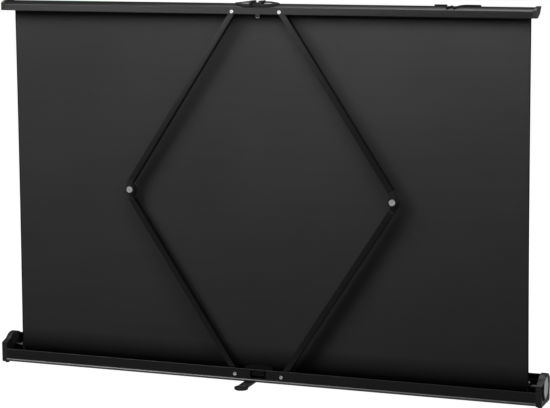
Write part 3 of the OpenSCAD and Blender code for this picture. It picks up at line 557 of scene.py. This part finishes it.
def sheet_object(name, verts, faces, uvs):
    """A mesh with its UV map in metres of cloth."""
    mesh = bpy.data.meshes.new(name)
    mesh.from_pydata(verts, [], faces)
    layer = mesh.uv_layers.new(name="UVMap")
    for loop in mesh.loops:
        layer.data[loop.index].uv = uvs[loop.vertex_index]
    mesh.update()
    obj = bpy.data.objects.new(name, mesh)
    bpy.context.scene.collection.objects.link(obj)
    return obj


# The screen: one stretched cloth, white in front inside a black border, black behind
CLOTH_COLUMNS, CLOTH_ROWS = 112, 74
# the dark strip along each side, the border's columns, and its height below and above the white
DARK_EDGE_STRIP = 0.0022
BORDER_COLUMNS, BORDER_BELOW, BORDER_ABOVE = 3, 0.055, 0.045
# how far each side spreads towards the roller, and how fast that fades upwards
FLARE_LEFT, FLARE_RIGHT = (0.0026, 1.6), (0.0045, 2.4)
# how far the edges roll forward, within what reach, and how soon up the cloth that ends
CURL_DEPTH, CURL_REACH, CURL_RISE = 0.0012, 0.006, 1.02
# the slow unevenness: its depth, and its turn and start in radians across and up the cloth
SWAY_DEPTH, SWAY_ACROSS, SWAY_UP = 0.0007, (9.1, 0.6), (3.4, 0.3)
# the cloth's thickness beside its node's
CLOTH_SHARE = 0.8


def cloth_point(u, v, side, low, high):
    """A point of the cloth: u across it, v up it, on its back (1) or front (-1)."""
    width, height = 2 * high.x, high.z - low.z
    spread = (2 * u - 1) ** 2
    x = -high.x + width * u
    flare, fade = FLARE_LEFT if u > 0.5 else FLARE_RIGHT
    out = flare * spread * (1 - v) ** fade
    x = x + out if u > 0.5 else x - out
    edge = min(u, 1 - u) * width
    curl = (-CURL_DEPTH * math.exp(-(edge / CURL_REACH) ** 2)
            * math.sin(math.pi * min(1, v * CURL_RISE)))
    sway = (SWAY_DEPTH * math.sin(u * SWAY_ACROSS[0] + SWAY_ACROSS[1])
            * math.sin(v * SWAY_UP[0] + SWAY_UP[1]) * math.sin(math.pi * v))
    half_wall = (high.y - low.y) * CLOTH_SHARE / 2
    return (x, (high.y + low.y) / 2 + side * half_wall + curl + sway, low.z + height * v)


def screen_cloth():
    low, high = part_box("screen_sheet")
    cols, rows = CLOTH_COLUMNS, CLOTH_ROWS
    width, height = 2 * high.x, high.z - low.z
    verts, faces, uvs = [], [], []
    edge_u = DARK_EDGE_STRIP / width
    for side in (1, -1):
        for j in range(rows + 1):
            for i in range(cols + 1):
                u, v = (i - 1) / (cols - 2), j / rows
                u = edge_u + (1 - 2 * edge_u) * u if 0 < i < cols else (0.0, 1.0)[i > 0]
                verts.append(cloth_point(u, v, side, low, high))
                uvs.append((u * width, v * height))

    def index(s, i, j):
        return s * (cols + 1) * (rows + 1) + j * (cols + 1) + i

    for j in range(rows):
        for i in range(cols):
            faces.append((index(0, i + 1, j), index(0, i, j), index(0, i, j + 1),
                          index(0, i + 1, j + 1)))
            faces.append((index(1, i, j), index(1, i + 1, j), index(1, i + 1, j + 1),
                          index(1, i, j + 1)))
    for j in range(rows):
        faces.append((index(0, 0, j), index(1, 0, j), index(1, 0, j + 1), index(0, 0, j + 1)))
        faces.append((index(1, cols, j), index(0, cols, j), index(0, cols, j + 1),
                      index(1, cols, j + 1)))
    for i in range(cols):
        faces.append((index(1, i, 0), index(0, i, 0), index(0, i + 1, 0), index(1, i + 1, 0)))
        faces.append((index(0, i, rows), index(1, i, rows), index(1, i + 1, rows),
                      index(0, i + 1, rows)))
    obj = sheet_object("screen_cloth", verts, faces, uvs)
    mesh = obj.data
    for material in (finish["screen_fabric"], screen_white, screen_border, cloth_edge):
        mesh.materials.append(material)
    back, white, border, edge = range(4)
    for face in mesh.polygons:
        column = min(v % (cols + 1) for v in face.vertices)
        if abs(face.normal.y) < 0.5 or column in (0, cols - 1):
            face.material_index = edge
        elif face.normal.y < 0:
            inside = BORDER_COLUMNS <= column < cols - BORDER_COLUMNS
            inside = inside and low.z + BORDER_BELOW < face.center.z < high.z - BORDER_ABOVE
            face.material_index = white if inside else border
        else:
            face.material_index = back
    activate(obj)
    bpy.ops.object.shade_smooth_by_angle(angle=math.radians(30))
    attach(obj, "case")
    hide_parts("screen_sheet")
    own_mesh(obj)


# The last turns of the same cloth on the roller, wound as one spiral: how many, drawn in
# how many steps and columns, how thick, how far apart, and how far inside the node
TURNS, TURN_STEPS, TURN_COLUMNS = 2, 84, 12
TURN_WALL, TURN_PITCH, TURN_INSET = 0.0002, 0.000235, 0.00011


def wound_turns():
    low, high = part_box("wound_fabric")
    mid_y, mid_z = (low.y + high.y) / 2, (low.z + high.z) / 2
    outer = (high.z - low.z) / 2 - TURN_INSET
    verts, faces, uvs, length = [], [], [], 0.0
    for k in range(TURNS * TURN_STEPS + 1):
        angle = math.tau * k / TURN_STEPS
        r = outer - TURN_PITCH * angle / math.tau
        y, z = mid_y + r * math.cos(angle), mid_z - r * math.sin(angle)
        if k:
            length += math.hypot(verts[-1][1] - y, verts[-1][2] - z)
        for i in range(TURN_COLUMNS + 1):
            x = low.x + (high.x - low.x) * i / TURN_COLUMNS
            verts.append((x, y, z))
            uvs.append((x - low.x, length))
    for k in range(TURNS * TURN_STEPS):
        for i in range(TURN_COLUMNS):
            a = k * (TURN_COLUMNS + 1) + i
            faces.append((a, a + 1, a + TURN_COLUMNS + 2, a + TURN_COLUMNS + 1))
    obj = sheet_object("wound_turns", verts, faces, uvs)
    obj.data.materials.append(finish["screen_fabric"])
    activate(obj)
    wall = obj.modifiers.new("cloth_thickness", "SOLIDIFY")
    wall.thickness = TURN_WALL
    wall.offset = 0
    bpy.ops.object.modifier_apply(modifier="cloth_thickness")
    bpy.ops.object.shade_smooth_by_angle(angle=math.radians(40))
    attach(obj, "roller")
    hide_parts("wound_fabric")


# The bar's end caps: an upright plane through this point (y, z) leans across each end, its
# front further in than its back by so much over such a run
CAP_CUT_POINT = (0.014, 0.78)
CAP_CUT_BACK, CAP_CUT_RUN = 0.0065, 0.035
CAP_CUT_MERGE = 0.00001
CAP_EDGE = 0.0012


def bar_end_cap(name, sign):
    """The bar's end cap with its front corner cut back and all its edges rounded."""
    obj = copy_node(name, name + "_shaped")
    end_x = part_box(name)[0].x if sign < 0 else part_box(name)[1].x
    bpy.ops.object.mode_set(mode="EDIT")
    bpy.ops.mesh.select_all(action="SELECT")
    bpy.ops.mesh.bisect(plane_co=(end_x, *CAP_CUT_POINT),
                        plane_no=(sign * CAP_CUT_RUN, -CAP_CUT_BACK, 0.0),
                        use_fill=False, clear_outer=True)
    bpy.ops.mesh.select_all(action="SELECT")
    bpy.ops.mesh.remove_doubles(threshold=CAP_CUT_MERGE)
    bpy.ops.mesh.fill_holes(sides=0)
    bpy.ops.mesh.normals_make_consistent(inside=False)
    bpy.ops.object.mode_set(mode="OBJECT")
    round_edges(obj, CAP_EDGE, 3, angle=25)
    finish_piece(obj, "top_bar", finish["cap_plastic"], (name,), angle=30)


def latch_coil():
    coil = copy_node("latch_spring", "latch_coil", merge=False)
    finish_piece(coil, "case", finish["spring_steel"], ("latch_spring",),
                 angle=40)
    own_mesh(coil)


# The bead along the foot of the case's rear wall gets a lighter, part-metal grey than the wall:
# a painted highlight
BEAD_TOP, BEAD_FRONT = 0.0128, 0.0362


def paint_bead_highlight(shell):
    shell.data.materials.append(bead_highlight)
    for face in shell.data.polygons:
        if face.center.y > BEAD_FRONT and face.center.z < BEAD_TOP:
            face.material_index = 1


# A rivet along Y: shank, a black ring of painted shadow round the head, and a domed head whose
# white is a painted reflection, with a punched middle painted black as shade
RIVET_WALL_Y = 0.036
RIVET_HEAD_R, RIVET_RIM, RIVET_DISH = 0.0037, 0.0011, 0.0018
RIVET_SHADOW_R, RIVET_SHADOW_T = 0.0045, 0.0006
RIVET_SHANK_R = 0.0025
PUNCH_DEPTH, PUNCH_SHADE_R = 0.0007, 0.0007
RIVET_HEAD_EDGE, RIVET_SHADOW_EDGE, RIVET_SHANK_EDGE = 0.0005, 0.0002, 0.0003


def rivet_at(x, z, y_end, y_start):
    # a thin black disc round the head: painted shadow where the head meets the wall
    shadow_ring = disc_along_y(x, z, RIVET_WALL_Y, RIVET_WALL_Y + RIVET_SHADOW_T, RIVET_SHADOW_R, 40)
    round_edges(shadow_ring, RIVET_SHADOW_EDGE, 2)
    shadow_ring.data.materials.append(finish["black_plastic"])

    head = disc_along_y(x, z, RIVET_WALL_Y, y_end, RIVET_HEAD_R, 40)
    pick_faces(head, lambda c, n: n.y > 0.9)
    bpy.ops.mesh.inset(thickness=RIVET_RIM, depth=0.0)
    bpy.ops.mesh.inset(thickness=RIVET_DISH, depth=0.0)
    bpy.ops.mesh.extrude_region_move(TRANSFORM_OT_translate={"value": (0, -PUNCH_DEPTH, 0)})
    bpy.ops.object.mode_set(mode="OBJECT")
    round_edges(head, RIVET_HEAD_EDGE, 3)
    # the head's white is a painted reflection of polished steel
    head.data.materials.append(finish["rivet_white"])
    # the middle of the punched dish is painted black: painted shade in its hollow
    head.data.materials.append(finish["black_plastic"])
    for face in head.data.polygons:
        if math.hypot(face.center.x - x, face.center.z - z) < PUNCH_SHADE_R:
            face.material_index = 1

    shank = disc_along_y(x, z, y_start, RIVET_WALL_Y, RIVET_SHANK_R, 32)
    round_edges(shank, RIVET_SHANK_EDGE, 2)
    shank.data.materials.append(finish["steel"])
    return [shadow_ring, head, shank]


def rivets(node, name):
    """The node's two rivets, one at each end of its box."""
    low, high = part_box(node)
    pieces = []
    for x in (low.x + RIVET_SHADOW_R, high.x - RIVET_SHADOW_R):
        pieces += rivet_at(x, (low.z + high.z) / 2, high.y, low.y)
    activate(pieces[0])
    for piece in pieces:
        piece.select_set(True)
    bpy.ops.object.join()
    pieces[0].name = name
    finish_piece(pieces[0], node_body[node], None, (node,), angle=35)


# The elbow's bolt: a flat round cap with a rolled edge and a shallow ring, on its shank
ELBOW_RING_R, ELBOW_RING_T = 0.0084, 0.0008
ELBOW_CAP_R, ELBOW_SHANK_R = 0.0066, 0.0030
ELBOW_RING_EDGE, ELBOW_CAP_EDGE, ELBOW_SHANK_EDGE = 0.0003, 0.0006, 0.0004
# the cap's face from its edge inwards: how wide each step is and how far it rises
ELBOW_STEPS = ((0.0016, 0.0), (0.0003, -0.0005), (0.0026, 0.0), (0.0004, 0.0005))


def elbow_cap(side):
    node = "elbow_bolt_" + side
    low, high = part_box(node)
    x, z = (low.x + high.x) / 2, (low.z + high.z) / 2
    face_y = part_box("upper_knuckle_" + side)[1].y
    ring = disc_along_y(x, z, face_y, face_y + ELBOW_RING_T, ELBOW_RING_R, 64)
    round_edges(ring, ELBOW_RING_EDGE, 2)
    ring.data.materials.append(catch_black)

    cap = disc_along_y(x, z, face_y, high.y, ELBOW_CAP_R, 64)
    pick_faces(cap, lambda c, n: n.y > 0.9)
    for width, rise in ELBOW_STEPS:
        bpy.ops.mesh.inset(thickness=width, depth=rise)
    bpy.ops.object.mode_set(mode="OBJECT")
    round_edges(cap, ELBOW_CAP_EDGE, 3)
    cap.data.materials.append(elbow_grey)

    shank = disc_along_y(x, z, low.y, face_y, ELBOW_SHANK_R, 48)
    round_edges(shank, ELBOW_SHANK_EDGE, 2)
    shank.data.materials.append(finish["steel"])
    activate(cap)
    shank.select_set(True)
    ring.select_set(True)
    bpy.ops.object.join()
    cap.name = "elbow_cap_" + side
    finish_piece(cap, node_body[node], None, (node,), angle=35)


# The swivel foot: a round end with a rim and a plug, drawn out into a lever to its hinge
FOOT_HINGE = Vector((0.022, 0.004, 0.0))
FOOT_R, FOOT_EDGE = 0.0145, 0.0007
# the part of the round end that is drawn out, and how far short of the hinge it ends
FOOT_NECK_ANGLE = math.radians(48)
FOOT_NECK_SHORT = 0.004
# the plug's face, as far out as FOOT_PLUG_R, then how wide each step is and how far it rises
FOOT_PLUG_R = 0.008
FOOT_STEPS = ((0.0012, 0.0), (0.0007, -0.0009), (0.0034, 0.0), (0.0006, 0.0008))
# room for the hinge pin and for its head below FOOT_POCKET_TOP, cut from under the lever
FOOT_BORE_R, FOOT_POCKET_R, FOOT_POCKET_TOP = 0.0033, 0.0063, 0.0029
CUT_PAST = 0.001


def swivel_foot():
    low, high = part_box("foot_lever")
    pad_low, pad_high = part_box("foot_pad")
    pad = (pad_low + pad_high) / 2
    toward = Vector((FOOT_HINGE.x - pad.x, FOOT_HINGE.y - pad.y, 0.0))
    reach = toward.length
    toward.normalize()
    foot = disc_upright(pad.x, pad.y, low.z, high.z, FOOT_R, 72)
    bpy.ops.object.transform_apply(location=True, rotation=True, scale=True)
    pick_faces(foot, lambda c, n: abs(n.z) < 0.5 and n.dot(toward) > math.cos(FOOT_NECK_ANGLE))
    bpy.ops.mesh.extrude_region_move(
        TRANSFORM_OT_translate={"value": tuple(toward * (reach - FOOT_NECK_SHORT))})
    pick_faces(foot, lambda c, n: n.z > 0.9 and (c - pad).length < FOOT_PLUG_R)
    for width, rise in FOOT_STEPS:
        bpy.ops.mesh.inset(thickness=width, depth=rise)
    bpy.ops.object.mode_set(mode="OBJECT")
    round_edges(foot, FOOT_EDGE, 3, angle=40)
    foot.data.materials.append(foot_black)
    foot.name = "swivel_foot"
    for r, top in ((FOOT_BORE_R, high.z + CUT_PAST), (FOOT_POCKET_R, FOOT_POCKET_TOP)):
        cutter = disc_upright(FOOT_HINGE.x, FOOT_HINGE.y, low.z - CUT_PAST, top, r, 64)
        combine(foot, cutter, "DIFFERENCE")
    combine(foot, copy_node("foot_pad", "peg_cutter"), "DIFFERENCE")
    finish_piece(foot, "foot", None, ("foot_lever",), angle=35)


screen_cloth()
wound_turns()

# The width to which each piece's edges are rounded
for name, width in (("end_cap_left", 0.0009), ("end_cap_right", 0.0009),
                    ("case_housing", 0.0004),
                    ("lower_arm_left", 0.0007), ("lower_arm_right", 0.0007),
                    ("upper_arm_left", 0.0007), ("upper_arm_right", 0.0007),
                    ("foot_pad", 0.0005), ("end_disc", 0.0006)):
    soften_node(name, width)
for name, width in (("latch_catch", 0.0014), ("latch_slider", 0.0008), ("wire_clip", 0.0007)):
    soften_node(name, width, material=catch_black)
for side in ("left", "right"):
    soften_node("lower_knuckle_" + side, 0.0009, segments=3, material=knuckle_black)
    soften_node("upper_knuckle_" + side, 0.0009, segments=3, material=knuckle_black)
bar_end_cap("top_cap_left", 1)
bar_end_cap("top_cap_right", -1)
soften_node("latch_tongue", 0.0009, segments=3, material=tongue_zinc)
for name in ("handle_base", "grip_loop_left", "grip_loop_right"):
    soften_node(name, 0.0006, material=grip_plastic)

latch_coil()
join_nodes(("top_bar_housing", "top_bar_hood"), 0.0004, "top_bar_extrusion")
paint_bead_highlight(bpy.data.objects["case_housing_softened"])
rivets("lower_rivets", "case_rivets")
rivets("upper_rivets", "bar_rivets")
elbow_cap("left")
elbow_cap("right")
swivel_foot()
